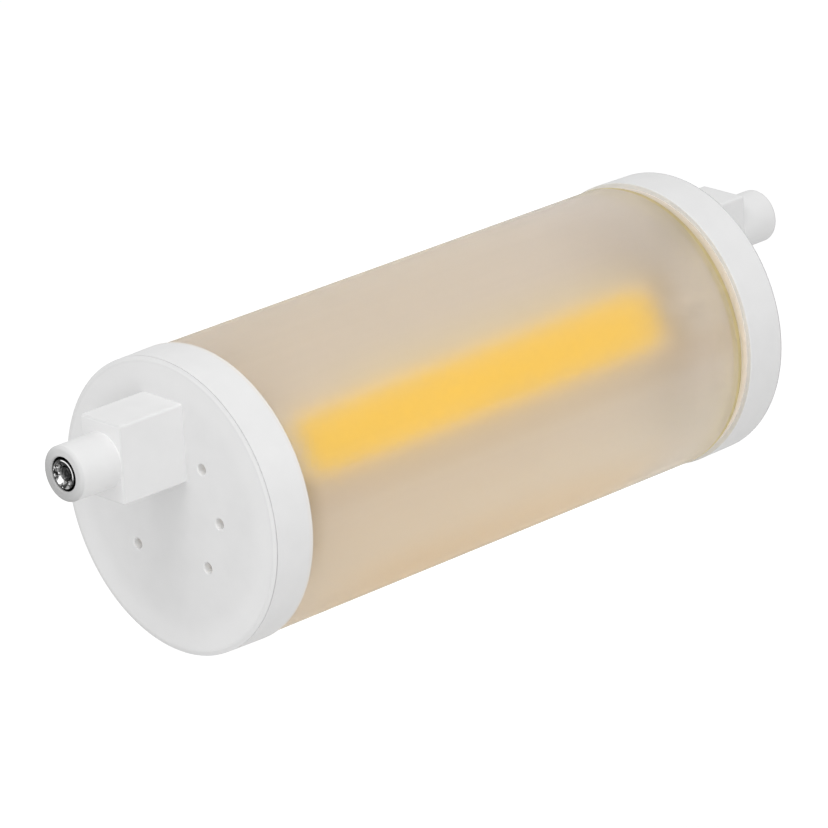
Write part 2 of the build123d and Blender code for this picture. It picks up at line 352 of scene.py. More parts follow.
# %% [markdown]
# Several finishes change from place to place: a rim is warmer, a tip is worn. The solids have
# no painted masks, and need none, as the place of a point on the lamp says what it belongs to.
# This group gives that place in millimetres. The noses stand off the lamp's axis, at the height
# that the mounts in the record give, so it has two radii.

# %% Where a point lies
NOSE_HEIGHT = frame["record"]["mounts"][0]["pos_m"][2]


def place_group():
    """x, y and z in millimetres, and the distances from the lamp's axis and the noses' axis."""
    names = ("Along", "Aside", "Height", "Radius", "Nose Radius")
    group, _, way_out = new_group("place", {}, dict.fromkeys(names, FLOAT))
    parts = group.nodes.new("ShaderNodeSeparateXYZ")
    group.links.new(object_point(group), parts.inputs[0])
    x, y, z = (parts.outputs[axis] for axis in "XYZ")
    y_square = calc(group, "MULTIPLY", y, y)

    def distance(height):
        """sqrt(height ** 2 + y ** 2)"""
        return calc(group, "SQRT", calc(group, "MULTIPLY_ADD", height, height, y_square))

    nose_radius = distance(calc(group, "SUBTRACT", z, NOSE_HEIGHT))
    for name, metres in zip(names, (x, y, z, distance(z), nose_radius)):
        group.links.new(calc(group, "DIVIDE", metres, MM), way_out.inputs[name])
    return group


PLACE = place_group()
print("group", PLACE.name, "with", len(PLACE.nodes), "nodes")

# %% [markdown]
# Each finish is a Principled surface. Values that are the same all over are set on its sockets,
# and what changes over the surface comes from the groups. A mask is a number from 0 to 1, made
# of smooth steps, and a product of masks is their overlap. Tints are then laid on one after the
# other, each where its mask is. These helpers keep every finish short.

# %% A finish and the groups in it
def new_finish(name, **sockets):
    """A Principled material with constant sockets; gives it, its tree and its surface."""
    material = bpy.data.materials.new(name)
    material.use_nodes = True
    surface = material.node_tree.nodes["Principled BSDF"]
    for socket, value in sockets.items():
        surface.inputs[socket.replace("_", " ")].default_value = value
    return material, material.node_tree, surface


def placed(tree, group, **values):
    """One use of a node group, with its own values; gives its outputs."""
    node = tree.nodes.new("ShaderNodeGroup")
    node.node_tree = group
    for socket, value in values.items():
        node.inputs[socket.replace("_", " ")].default_value = value
    return node.outputs


# %% Masks
def ramp(tree, value, span, low=0.0, high=1.0):
    """low before the span, high after it, and a smooth step between."""
    node = tree.nodes.new("ShaderNodeMapRange")
    node.interpolation_type = "SMOOTHSTEP"
    tree.links.new(value, node.inputs["Value"])
    for socket, number in zip(("From Min", "From Max", "To Min", "To Max"), (*span, low, high)):
        node.inputs[socket].default_value = number
    return node.outputs["Result"]


def fall(tree, value, span):
    """1 before the span, 0 after it, and a smooth step between."""
    return ramp(tree, value, span, 1.0, 0.0)


def times(tree, first, *others):
    """The product of masks and numbers."""
    for other in others:
        first = calc(tree, "MULTIPLY", first, other)
    return first


def between(tree, value, low, high):
    """1 between two limits and 0 outside them, with no soft edge."""
    above = calc(tree, "GREATER_THAN", value, low)
    return times(tree, above, calc(tree, "LESS_THAN", value, high))


# %% Tints
def mixed(tree, mask, first, second):
    """The first colour where the mask is 0 and the second where it is 1."""
    node = tree.nodes.new("ShaderNodeMix")
    node.data_type = "RGBA"
    tree.links.new(mask, node.inputs["Factor"])
    for socket, value in (("A", first), ("B", second)):
        target = next(s for s in node.inputs if s.name == socket and s.type == "RGBA")
        if isinstance(value, bpy.types.NodeSocket):
            tree.links.new(value, target)
        else:
            target.default_value = value
    return next(s for s in node.outputs if s.type == "RGBA")


def painted(tree, colour, tints, masks):
    """Tints laid on in their order; each is a colour and its share where its mask is 1."""
    for name, (tint, share) in tints.items():
        colour = mixed(tree, times(tree, masks[name], share), colour, tint)
    return colour


# %% Clouds and grain on a finish
ROUGHNESS_CHANGE = 0.2
finishes = {}


def bumped(tree, surface, height, depth):
    """Feed a height from 0 to 1, that stands for a depth in metres, to the surface's normal."""
    bump = tree.nodes.new("ShaderNodeBump")
    bump.inputs["Distance"].default_value = depth
    tree.links.new(height, bump.inputs["Height"])
    tree.links.new(bump.outputs["Normal"], surface.inputs["Normal"])


def mottled_finish(
    name, colour, roughness, cloud_mm, grain_mm, colour_change, grain_depth_mm, **sockets
):
    """A finish with clouds and grain; gives it, its tree, its surface and the mottle."""
    material, tree, surface = new_finish(name, **sockets)
    mottle = placed(
        tree,
        MOTTLE,
        Colour=colour,
        Colour_Change=colour_change,
        Cloud_Scale=1 / (cloud_mm * MM),
        Roughness=roughness,
        Roughness_Change=ROUGHNESS_CHANGE,
        Grain_Scale=1 / (grain_mm * MM),
    )
    tree.links.new(mottle["Colour"], surface.inputs["Base Color"])
    tree.links.new(mottle["Roughness"], surface.inputs["Roughness"])
    bumped(tree, surface, mottle["Height"], grain_depth_mm * MM)
    return material, tree, surface, mottle


def keep(slot, material):
    """File a finish under the name that the record has for it."""
    finishes[slot] = material
    print("finish", slot, "with", len(material.node_tree.nodes), "nodes")


# %% [markdown]
# The caps are satin white plastic, moulded in one piece. Light that has passed through the tube
# is painted on the left rim beside it, as a little warmth. Painted light makes the face paler
# towards its border and on the front of the boss, and painted shade makes them a little greyer
# where their edges are rounded. Painted shade greys the nose's tip, most on one lower side. The
# hole that the contact sits in is narrow and sunk far in, and lies in shade, so that shade is
# painted on the plastic there as near black. The walls are thin enough for daylight to come
# through, so inside they are never dark. Light scattering in the plastic could be worked out for
# that, but it takes many samples, and a faint painted glow on the inner walls and in the vents
# stands for it.

# %% Tints of the caps
# Painted light: rim, from the tube, and pale. Painted shade: corner and boss_edge on the rounded
# edges, tip, and recess in the contact's hole.
CAP_TINTS = {
    "rim": ((0.82, 0.62, 0.36, 1.0), 0.16),
    "pale": (grey(0.90), 1.0),
    "corner": (grey(0.68), 0.22),
    "boss_edge": (grey(0.75), 1.0),
    "tip": (grey(0.36), 1.0),
    "recess": (grey(0.012), 1.0),
}
RIM_MM = 37.4
RIM_WARM_MM = (RIM_MM, RIM_MM + 0.8)
FACE_START_MM = 42.95
FACE_BORDER_MM = (13.5, 16.5)
FACE_BORDER_SHARE = 0.4
FACE_CORNER_MM = (17.5, 17.9)
BOSS_EDGE_MM = 52.7
BOSS_FRONT_MM = (52.93, 53.05)
BOSS_FRONT_SHARE = 0.6
TIP_MM = (58.5, 58.8)
TIP_SLANT_MM = (-4.0, 4.0)
TIP_SHARES = (0.22, 0.72)
RECESS_START_MM = 56.7
RECESS_RADIUS_MM = (2.16, 2.21)
RECESS_SHADE_MM = (58.6, 58.8)


def cap_masks(tree, place):
    """Where each tint of the caps lies."""
    along = calc(tree, "ABSOLUTE", place["Along"])
    left_cap = calc(tree, "LESS_THAN", place["Along"], 0.0)
    on_face = calc(tree, "GREATER_THAN", along, FACE_START_MM)
    border = times(tree, ramp(tree, place["Radius"], FACE_BORDER_MM), on_face, FACE_BORDER_SHARE)
    boss_front = times(tree, between(tree, along, *BOSS_FRONT_MM), BOSS_FRONT_SHARE)
    rise = calc(tree, "SUBTRACT", place["Height"], NOSE_HEIGHT / MM)
    slant = calc(tree, "SUBTRACT", place["Aside"], rise)
    in_hole = fall(tree, place["Nose Radius"], RECESS_RADIUS_MM)
    past_floor = calc(tree, "GREATER_THAN", along, RECESS_START_MM)
    return {
        "rim": times(tree, fall(tree, along, RIM_WARM_MM), left_cap),
        "pale": calc(tree, "MAXIMUM", border, boss_front),
        "corner": times(tree, ramp(tree, place["Radius"], FACE_CORNER_MM), on_face),
        "boss_edge": between(tree, along, BOSS_EDGE_MM, BOSS_FRONT_MM[0]),
        "tip": times(tree, ramp(tree, along, TIP_MM), ramp(tree, slant, TIP_SLANT_MM, *TIP_SHARES)),
        "recess": times(tree, in_hole, past_floor, fall(tree, along, RECESS_SHADE_MM)),
    }


# %% Glow inside the caps
INNER_RADIUS_MM = 17.85
INNER_END_MM = 41.7
VENT_REACH_MM = 9.6
VENT_END_MM = 43.1
VENT_SHARE = 0.4


def cap_glow(tree, place):
    """1 on the inner walls, less in the vents and 0 outside."""
    along = calc(tree, "ABSOLUTE", place["Along"])
    within = calc(tree, "LESS_THAN", place["Radius"], INNER_RADIUS_MM)
    inner = times(tree, within, calc(tree, "LESS_THAN", along, INNER_END_MM))
    by_vent = calc(tree, "LESS_THAN", place["Radius"], VENT_REACH_MM)
    vent = times(tree, by_vent, calc(tree, "LESS_THAN", along, VENT_END_MM), VENT_SHARE)
    return calc(tree, "MAXIMUM", inner, vent)


# %% Finish of the caps
CAP_WHITE = grey(0.80)
INNER_GLOW = 0.10


def cap_finish():
    """Satin white plastic with its tints, faintly lit inside."""
    material, tree, surface, mottle = mottled_finish(
        "cap_plastic",
        CAP_WHITE,
        roughness=0.6,
        cloud_mm=3.5,
        grain_mm=0.12,
        colour_change=0.035,
        grain_depth_mm=0.004,
        Specular_IOR_Level=0.12,
        Emission_Strength=INNER_GLOW,
    )
    place = placed(tree, PLACE)
    colour = painted(tree, mottle["Colour"], CAP_TINTS, cap_masks(tree, place))
    glow = mixed(tree, cap_glow(tree, place), grey(0.0), grey(1.0))
    tree.links.new(colour, surface.inputs["Base Color"])
    tree.links.new(glow, surface.inputs["Emission Color"])
    return material


keep("cap_plastic", cap_finish())

# %% [markdown]
# The tube is clear plastic with a frosted skin. Both of its faces scatter what passes, so the
# strip inside is seen as a bar with soft edges. A rough, fully transmitting surface does that by
# itself, as light goes in, meets the core and comes out again. What it can't do in a short
# render is carry light along inside the wall, so the tints are painted light and shade. With
# them the wall is yellower over the strips, lighter in its lower half, warm underneath, cooler
# towards the right end and dim in a line below the two upper strips. At the left, painted shade
# darkens it towards the cap, except where painted light keeps it pale over the ends of those
# strips. At the right shoulder a thin olive line of painted shade, tinted by the strips' yellow
# light, lies on it, and the thin neck beside the right cap is painted lighter and gives off the
# light that it has carried as a painted glow. The three strips stand 120 degrees apart, so one
# formula finds them all: with s = height / radius, 3 * s - 4 * s ** 3 is the sine of three
# times the angle, and is 1 over each strip's middle.

# %% Tints of the tube
# All these tints are painted light and shade on the wall; shoulder_shade is the painted olive line
# at the right shoulder.
TUBE_TINTS = {
    "far": ((0.98, 0.905, 0.85, 1.0), 0.6),
    "low": ((1.0, 0.93, 0.83, 1.0), 0.8),
    "halo": ((1.0, 0.89, 0.62, 1.0), 0.5),
    "dim": ((0.86, 0.74, 0.62, 1.0), 0.4),
    "under": ((1.0, 0.83, 0.60, 1.0), 0.85),
    "shade": ((0.80, 0.73, 0.66, 1.0), 0.12),
    "strip_end": ((1.0, 0.97, 0.96, 1.0), 0.6),
    "edge": ((0.56, 0.48, 0.34, 1.0), 0.5),
    "shoulder_shade": ((0.83, 0.71, 0.21, 1.0), 0.9),
    "neck": ((1.0, 0.93, 0.82, 1.0), 1.0),
}
LEFT_SHOULDER_MM = -37.4
RIGHT_SHOULDER_MM = 36.0
FAR_MM = (14.0, 30.0)
LOW_MM = (-5.0, 1.0)
HALO_FACING = (-0.3, 0.9)
MIDDLE_RISE_MM = (-36.0, -18.0)
MIDDLE_FALL_MM = (18.0, 30.0)
MIDDLE_LEAST = 0.2
DIM_RISE_MM = (0.0, 2.5)
DIM_FALL_MM = (4.0, 6.0)
UNDER_MM = (-14.0, -5.0)
STRIP_RISE_MM = (5.0, 7.5)
STRIP_FALL_MM = (12.0, 14.0)
SHADE_MM = (LEFT_SHOULDER_MM, LEFT_SHOULDER_MM + 15.0)
STRIP_END_MM = (LEFT_SHOULDER_MM, LEFT_SHOULDER_MM + 4.0)
EDGE_MM = (LEFT_SHOULDER_MM, LEFT_SHOULDER_MM + 3.0)
EDGE_RISE_MM = (-8.0, 0.0)
EDGE_LEAST = 0.2
EDGE_FALL_MM = (4.5, 7.5)
SHOULDER_SHADE_MM = (RIGHT_SHOULDER_MM - 0.9, RIGHT_SHOULDER_MM - 0.5)
NECK_START_MM = RIGHT_SHOULDER_MM + 0.02


def tube_masks(tree, place):
    """Where each tint of the tube lies."""
    along, height = place["Along"], place["Height"]
    sine = calc(tree, "DIVIDE", height, place["Radius"])
    cube = times(tree, sine, sine, sine)
    facing = calc(tree, "SUBTRACT", times(tree, sine, 3.0), times(tree, cube, 4.0))
    from_left = ramp(tree, along, MIDDLE_RISE_MM, MIDDLE_LEAST, 1.0)
    middle = times(tree, from_left, ramp(tree, along, MIDDLE_FALL_MM, 1.0, MIDDLE_LEAST))
    below, above = fall(tree, height, STRIP_RISE_MM), ramp(tree, height, STRIP_FALL_MM)
    off_strip = calc(tree, "MAXIMUM", below, above)
    on_strip = calc(tree, "SUBTRACT", 1.0, off_strip)
    edge_rise = ramp(tree, height, EDGE_RISE_MM, EDGE_LEAST, 1.0)
    beside = times(tree, edge_rise, fall(tree, height, EDGE_FALL_MM))
    return {
        "far": ramp(tree, along, FAR_MM),
        "low": fall(tree, height, LOW_MM),
        "halo": times(tree, ramp(tree, facing, HALO_FACING), middle),
        "dim": times(tree, ramp(tree, height, DIM_RISE_MM), fall(tree, height, DIM_FALL_MM)),
        "under": times(tree, fall(tree, height, UNDER_MM), middle),
        "shade": times(tree, fall(tree, along, SHADE_MM), off_strip),
        "strip_end": times(tree, fall(tree, along, STRIP_END_MM), on_strip),
        "edge": times(tree, fall(tree, along, EDGE_MM), beside),
        "shoulder_shade": ramp(tree, along, SHOULDER_SHADE_MM),
        "neck": calc(tree, "GREATER_THAN", along, NECK_START_MM),
    }


# %% Glow of the tube's neck
NECK_GLOW = (0.185, 0.158, 0.09, 1.0)
NECK_END_GLOW = (0.195, 0.185, 0.19, 1.0)
NECK_INSIDE_MM = 17.5
NECK_LIT_MM = (RIGHT_SHOULDER_MM + 0.2, RIM_MM - 0.2)
NECK_WHITE_MM = (RIM_MM - 0.6, RIM_MM - 0.1)


def neck_glow(tree, place, neck):
    """The light that leaves the neck's outside, whiter towards the cap."""
    outside = calc(tree, "GREATER_THAN", place["Radius"], NECK_INSIDE_MM)
    lit = times(tree, neck, outside, ramp(tree, place["Along"], NECK_LIT_MM))
    carried = mixed(tree, ramp(tree, place["Along"], NECK_WHITE_MM), NECK_GLOW, NECK_END_GLOW)
    return mixed(tree, lit, grey(0.0), carried)


# %% Finish of the tube
TUBE_TINT = (0.96, 0.88, 0.79, 1.0)
DRAWN_LINE_MM = 0.9
DRAWN_STRETCH = 40.0
DRAWN_CHANGE = 0.03


def tube_finish():
    """Frosted clear plastic with faint clouds, drawn lines and its painted light and shade."""
    material, tree, surface, mottle = mottled_finish(
        "frosted_tube",
        TUBE_TINT,
        roughness=0.5,
        cloud_mm=9.0,
        grain_mm=0.2,
        colour_change=0.01,
        grain_depth_mm=0.002,
        Transmission_Weight=1.0,
        IOR=1.45,
        Emission_Strength=1.0,
    )
    place = placed(tree, PLACE)
    lines = placed(tree, STREAKS, Scale=1 / (DRAWN_LINE_MM * MM), Stretch=DRAWN_STRETCH)
    shade = swing(tree, lines["Streak"], DRAWN_CHANGE)
    masks = tube_masks(tree, place)
    colour = painted(tree, scaled_colour(tree, mottle["Colour"], shade), TUBE_TINTS, masks)
    tree.links.new(colour, surface.inputs["Base Color"])
    tree.links.new(neck_glow(tree, place, masks["neck"]), surface.inputs["Emission Color"])
    return material


keep("frosted_tube", tube_finish())

# %% [markdown]
# The contacts are turned from brass and plated. Sunk in their dark holes they mirror mostly
# shade, so they are painted dark and blotchy, as painted dark and grey reflections. A spot in the
# lower side of the dish, one side of the rim and some specks are painted highlights. Mirror-like
# metal would show these only by chance, from one angle, so they are painted white, not as metal,
# and given a small painted glint. The rings that the lathe left are a fine wave in the height,
# by the distance from the nose's axis.

# %% Painted highlights of the contacts
SPOT_ASIDE_MM = 0.86
SPOT_RISE_MM = -0.85
SPOT_SQUEEZE = 1.6
SPOT_FRAY_MM = 0.25
SPOT_EDGE_MM = (0.48, 0.62)
HIGHLIGHT_RIM_RISE_MM = (1.54, 1.60)
HIGHLIGHT_RIM_FALL_MM = (1.72, 1.77)
HIGHLIGHT_RIM_SLANT_MM = (-1.25, -0.8)
SPECK_LEVEL = (0.60, 0.64)
SPECK_SLANT_MM = (0.2, 0.6)


def painted_highlights(tree, place, fine, rise, slant):
    """1 on the spot, the rim's side and the specks of painted highlight."""
    from_spot = calc(tree, "SUBTRACT", place["Aside"], SPOT_ASIDE_MM)
    across = times(tree, from_spot, SPOT_SQUEEZE)
    above = calc(tree, "SUBTRACT", rise, SPOT_RISE_MM)
    square = calc(tree, "MULTIPLY_ADD", across, across, times(tree, above, above))
    fray = calc(tree, "MULTIPLY_ADD", fine, 2 * SPOT_FRAY_MM, -SPOT_FRAY_MM)
    spot = fall(tree, calc(tree, "ADD", calc(tree, "SQRT", square), fray), SPOT_EDGE_MM)
    past_dish = ramp(tree, place["Nose Radius"], HIGHLIGHT_RIM_RISE_MM)
    ring = times(tree, past_dish, fall(tree, place["Nose Radius"], HIGHLIGHT_RIM_FALL_MM))
    rim = times(tree, ring, fall(tree, slant, HIGHLIGHT_RIM_SLANT_MM))
    specks = times(tree, ramp(tree, fine, SPECK_LEVEL), ramp(tree, slant, SPECK_SLANT_MM))
    return calc(tree, "MAXIMUM", calc(tree, "MAXIMUM", spot, rim), specks)


# %% Finish of the contacts
CONTACT_DARK_REFLECTION = grey(0.02)
# The dark ground is painted dark reflection, dull is painted grey reflection, and bright is painted
# highlight.
CONTACT_TINTS = {"dull": (grey(0.42), 1.0), "bright": (grey(0.98), 1.0)}
CONTACT_PAINTED_GLINT = 0.22
SLANT = 0.7
FINE_MM = 0.3
BLOTCH_MM = 0.5
BLOTCH_DETAIL = 3.0
BLOTCH_LEVEL = (0.42, 0.62)
DULL_SLANT_MM = (-0.4, 0.6)
DULL_LEAST = 0.1
LEAST_ROUGH = 0.2
BLOTCH_ROUGH = 0.15
LATHE_PITCH_MM = 0.09
BLOTCH_HEIGHT = 3.0
LATHE_DEPTH = 0.002 * MM


def contact_finish():
    """Painted dark and grey reflections, painted highlights with a glint, and the lathe's rings."""
    material, tree, surface = new_finish("contact_metal", Emission_Strength=CONTACT_PAINTED_GLINT)
    point, place = object_point(tree), placed(tree, PLACE)
    rise = calc(tree, "SUBTRACT", place["Height"], NOSE_HEIGHT / MM)
    slant = times(tree, calc(tree, "SUBTRACT", place["Aside"], rise), SLANT)
    fine = noise(tree, point, 1 / (FINE_MM * MM), BLOTCH_DETAIL)
    blotch = ramp(tree, noise(tree, point, 1 / (BLOTCH_MM * MM), BLOTCH_DETAIL), BLOTCH_LEVEL)
    masks = {
        "dull": times(tree, blotch, ramp(tree, slant, DULL_SLANT_MM, DULL_LEAST, 1.0)),
        "bright": painted_highlights(tree, place, fine, rise, slant),
    }
    colour = painted(tree, CONTACT_DARK_REFLECTION, CONTACT_TINTS, masks)
    # A painted glint where the painted highlights are.
    glint = mixed(tree, masks["bright"], grey(0.0), grey(1.0))
    metal = calc(tree, "SUBTRACT", 1.0, masks["bright"])
    rough = calc(tree, "MULTIPLY_ADD", blotch, BLOTCH_ROUGH, LEAST_ROUGH)
    tree.links.new(colour, surface.inputs["Base Color"])
    tree.links.new(glint, surface.inputs["Emission Color"])
    tree.links.new(metal, surface.inputs["Metallic"])
    tree.links.new(rough, surface.inputs["Roughness"])
    rings = calc(tree, "SINE", times(tree, place["Nose Radius"], 2 * pi / LATHE_PITCH_MM))
    bumped(tree, surface, calc(tree, "MULTIPLY_ADD", blotch, BLOTCH_HEIGHT, rings), LATHE_DEPTH)
    return material


keep("contact_metal", contact_finish())

# %% [markdown]
# The core is an aluminium extrusion with a white coating that sends the light outwards. The lines
# of the extrusion still show through the coating, along the lamp. Towards its cut ends it is
# painted darker, as painted shade in the hollow past its ends, and that is seen through the tube
# as a darker patch past the strips.

# %% Finish of the core
CORE_LOW = grey(0.77)
CORE_HIGH = grey(0.85)
# The cut ends are painted darker: painted shade of the hollow past them.
CORE_TINTS = {"end_shade": ((0.58, 0.54, 0.45, 1.0), 1.0)}
CORE_END_SHADE_MM = (29.0, 30.5)
CORE_LINE_MM = 0.5
CORE_STRETCH = 40.0
CORE_LINE_DEPTH = 0.01 * MM
CORE_ROUGH = 0.3
CORE_LINE_ROUGH = 0.2


def core_finish():
    """White coating with streaks along X, and painted shade at the cut ends."""
    material, tree, surface = new_finish("coated_aluminium")
    lines = placed(tree, STREAKS, Scale=1 / (CORE_LINE_MM * MM), Stretch=CORE_STRETCH)
    streak = lines["Streak"]
    along = calc(tree, "ABSOLUTE", placed(tree, PLACE)["Along"])
    coated = mixed(tree, streak, CORE_LOW, CORE_HIGH)
    colour = painted(tree, coated, CORE_TINTS, {"end_shade": ramp(tree, along, CORE_END_SHADE_MM)})
    rough = calc(tree, "MULTIPLY_ADD", streak, CORE_LINE_ROUGH, CORE_ROUGH)
    tree.links.new(colour, surface.inputs["Base Color"])
    tree.links.new(rough, surface.inputs["Roughness"])
    bumped(tree, surface, streak, CORE_LINE_DEPTH)
    return material


keep("coated_aluminium", core_finish())

# %% [markdown]
# The LED boards have a cream solder mask beside the strip, and an unmasked pad past each of its
# ends, where the leads are soldered on. The left pads are painted pale, and the right ones
# darker, as painted shade. As the boards sit a little to the left on the core, their middle is
# found by adding that shift.

# %% Finish of the LED boards
BOARD_CREAM = (0.92, 0.87, 0.75, 1.0)
# The left pads are painted pale; the right pads are painted shade.
BOARD_TINTS = {
    "left_pad": ((0.92, 0.86, 0.70, 1.0), 1.0),
    "right_pad_shade": ((0.66, 0.56, 0.38, 1.0), 1.0),
}
BOARD_SHIFT_MM = 1.4
PAD_MM = (29.7, 29.8)


def led_board_finish():
    """Cream mask, and pads past the strip's ends."""
    material, tree, surface, mottle = mottled_finish(
        "led_board",
        BOARD_CREAM,
        roughness=0.5,
        cloud_mm=2.0,
        grain_mm=0.1,
        colour_change=0.04,
        grain_depth_mm=0.004,
    )
    centred = calc(tree, "ADD", placed(tree, PLACE)["Along"], BOARD_SHIFT_MM)
    mirrored = calc(tree, "MULTIPLY", centred, -1.0)
    masks = {"left_pad": ramp(tree, mirrored, PAD_MM), "right_pad_shade": ramp(tree, centred, PAD_MM)}
    colour = painted(tree, mottle["Colour"], BOARD_TINTS, masks)
    tree.links.new(colour, surface.inputs["Base Color"])
    return material


keep("led_board", led_board_finish())

# %% [markdown]
# The phosphor is cast silicone full of yellow powder, over a row of small chips that show as
# faint dimples. The powder turns the blue part of daylight into yellow, so it returns more yellow
# light than a paint would, and a small emission stands for that. The silicone runs thin at its
# edges and in the corners of its right end, where the cream board shows through it. The distance
# from the middle line of a strip follows from the distance to the lamp's axis: the strip's top is
# flat and lies at a known reach, so across = sqrt(radius ** 2 - reach ** 2).

# %% Thin edges of the phosphor strips
PHOSPHOR_REACH_MM = 12.1
PHOSPHOR_END_MM = 28.2
PHOSPHOR_HALF_WIDTH_MM = 3.5
THIN_MM = (PHOSPHOR_HALF_WIDTH_MM - 0.4, PHOSPHOR_HALF_WIDTH_MM)
THIN_SHARE = 0.6


def thin_silicone(tree, place):
    """THIN_SHARE at the long edges and in the round corners of the right end, and 0 inside."""
    round_start = PHOSPHOR_END_MM - PHOSPHOR_HALF_WIDTH_MM
    past = calc(tree, "SUBTRACT", place["Along"], round_start)
    beyond = calc(tree, "MAXIMUM", past, 0.0)
    radius_square = times(tree, place["Radius"], place["Radius"])
    across_square = calc(tree, "SUBTRACT", radius_square, PHOSPHOR_REACH_MM**2)
    kept_square = calc(tree, "MAXIMUM", across_square, 0.0)
    reach = calc(tree, "SQRT", calc(tree, "MULTIPLY_ADD", beyond, beyond, kept_square))
    return ramp(tree, reach, THIN_MM, 0.0, THIN_SHARE)


# %% Finish of the phosphor strips
PHOSPHOR_YELLOW = (0.96, 0.66, 0.01, 1.0)
PHOSPHOR_GLOW = (1.0, 0.78, 0.0, 1.0)
PHOSPHOR_STRENGTH = 0.16
CHIP_PITCH_MM = 1.45
DIMPLE_HEIGHT = 0.5
DIMPLE_DEPTH = 0.02 * MM


def phosphor_finish():
    """Matt yellow with powder grain, thin edges and a dimple over each chip."""
    material, tree, surface, mottle = mottled_finish(
        "phosphor",
        PHOSPHOR_YELLOW,
        roughness=0.6,
        cloud_mm=2.0,
        grain_mm=0.08,
        colour_change=0.04,
        grain_depth_mm=0.01,
        Emission_Strength=PHOSPHOR_STRENGTH,
    )
    place = placed(tree, PLACE)
    thin = thin_silicone(tree, place)
    colour = mixed(tree, thin, mottle["Colour"], BOARD_CREAM)
    glow = mixed(tree, thin, PHOSPHOR_GLOW, grey(0.0))
    tree.links.new(colour, surface.inputs["Base Color"])
    tree.links.new(glow, surface.inputs["Emission Color"])
    wave = calc(tree, "COSINE", times(tree, place["Along"], 2 * pi / CHIP_PITCH_MM))
    height = calc(tree, "MULTIPLY_ADD", wave, DIMPLE_HEIGHT, mottle["Height"])
    bumped(tree, surface, height, DIMPLE_DEPTH)
    return material


keep("phosphor", phosphor_finish())

# %% [markdown]
# The driver's circuit board has a green solder mask with the copper tracks showing under it as
# lighter bands. Real tracks could be drawn one by one, but the board is hidden in the core, so a
# brick pattern is enough. The board lies level, and X and Y of the Object coordinates are its own.

# %% Finish of the circuit board
TRACK_PITCH = 4 * MM
TRACK_COLOURS = {
    "Color1": (0.02, 0.14, 0.05, 1.0),
    "Color2": (0.03, 0.19, 0.07, 1.0),
    "Mortar": (0.01, 0.07, 0.03, 1.0),
}
TRACK_DEPTH = 0.03 * MM
TRACK_ROUGH = 0.3
GAP_ROUGH = 0.5


def circuit_board_finish():
    """Green mask over copper tracks."""
    material, tree, surface = new_finish("circuit_board", Coat_Weight=0.3)
    bricks = tree.nodes.new("ShaderNodeTexBrick")
    bricks.inputs["Scale"].default_value = 1 / TRACK_PITCH
    for socket, colour in TRACK_COLOURS.items():
        bricks.inputs[socket].default_value = colour
    tree.links.new(object_point(tree), bricks.inputs["Vector"])
    gap = bricks.outputs["Fac"]
    rough = ramp(tree, gap, (0.0, 1.0), TRACK_ROUGH, GAP_ROUGH)
    tree.links.new(bricks.outputs["Color"], surface.inputs["Base Color"])
    tree.links.new(rough, surface.inputs["Roughness"])
    bumped(tree, surface, gap, -TRACK_DEPTH)
    return material


keep("circuit_board", circuit_board_finish())

# %% [markdown]
# The rest are plain moulded, dipped or cast pieces. They differ only in colour and gloss, so a
# table and one loop make them all. Solder is the exception: a metal, with a coarser grain. The
# record names the finish of each piece, and every piece is then given its own.

# %% Finishes of the smaller pieces
PLAIN_TEXTURE = {"cloud_mm": 2.0, "grain_mm": 0.1, "colour_change": 0.05, "grain_depth_mm": 0.004}
PLAIN_FINISHES = {
    "lead_insulation": ((0.82, 0.81, 0.79, 1.0), 0.45),
    "seal_silicone": ((0.86, 0.85, 0.82, 1.0), 0.55),
    "liner_film": ((0.78, 0.76, 0.70, 1.0), 0.30),
    "component_black": (grey(0.03), 0.50),
    "component_blue": ((0.03, 0.10, 0.38, 1.0), 0.35),
    "component_red": ((0.38, 0.04, 0.03, 1.0), 0.30),
    "component_grey": ((0.38, 0.40, 0.38, 1.0), 0.45),
}
SOLDER_GREY = grey(0.7)
SOLDER_ROUGH = 0.4
SOLDER_SURFACE = PLAIN_TEXTURE | {"grain_depth_mm": 0.01, "Metallic": 1.0}

for slot, (colour, roughness) in PLAIN_FINISHES.items():
    keep(slot, mottled_finish(slot, colour, roughness, **PLAIN_TEXTURE)[0])
keep("solder", mottled_finish("solder", SOLDER_GREY, SOLDER_ROUGH, **SOLDER_SURFACE)[0])

for part in frame["record"]["subparts"]:
    mesh = nodes[part["node"]].data
    mesh.materials.clear()
    mesh.materials.append(finishes[part["material_slot"]])

# %% [markdown]
# A turned piece is an outline carried around an axis. The Spin tool makes one too, but with numpy
# the whole grid of points takes a few lines, and so does the list of its faces. The outline is a
# row of (x, radius) points, and every ring of the surface is one of them, turned through a full
# circle. It is walked so that the outside is passed towards +X, because the faces then point
# outwards. For that, its area in the (x, radius) plane has to come out negative.

# %% A turned surface
TURN_STEPS = 240
ON_AXIS = 1e-9


def turned_surface(name, along, radius, height):
    """A closed outline (x, r) turned about a line parallel to X.

    Ring i, step j: (x_i, r_i * cos a_j, height + r_i * sin a_j), with a_j = 2 * pi * j / steps.
    An outline that starts and ends on the axis has a pole there; any other closes in a loop.
    """
    area = np.sum(along * np.roll(radius, -1) - radius * np.roll(along, -1))
    if area > 0:
        along, radius = along[::-1], radius[::-1]
    angle = np.linspace(0, 2 * pi, TURN_STEPS, endpoint=False)
    ring_x = np.repeat(along[:, None], TURN_STEPS, 1)
    ring_y = radius[:, None] * np.cos(angle)
    ring_z = height + radius[:, None] * np.sin(angle)
    rings = np.stack([ring_x, ring_y, ring_z], axis=-1)
    if radius[0] < ON_AXIS and radius[-1] < ON_AXIS:
        return smooth_mesh(name, *poled_faces(rings))
    return smooth_mesh(name, *looped_faces(rings))


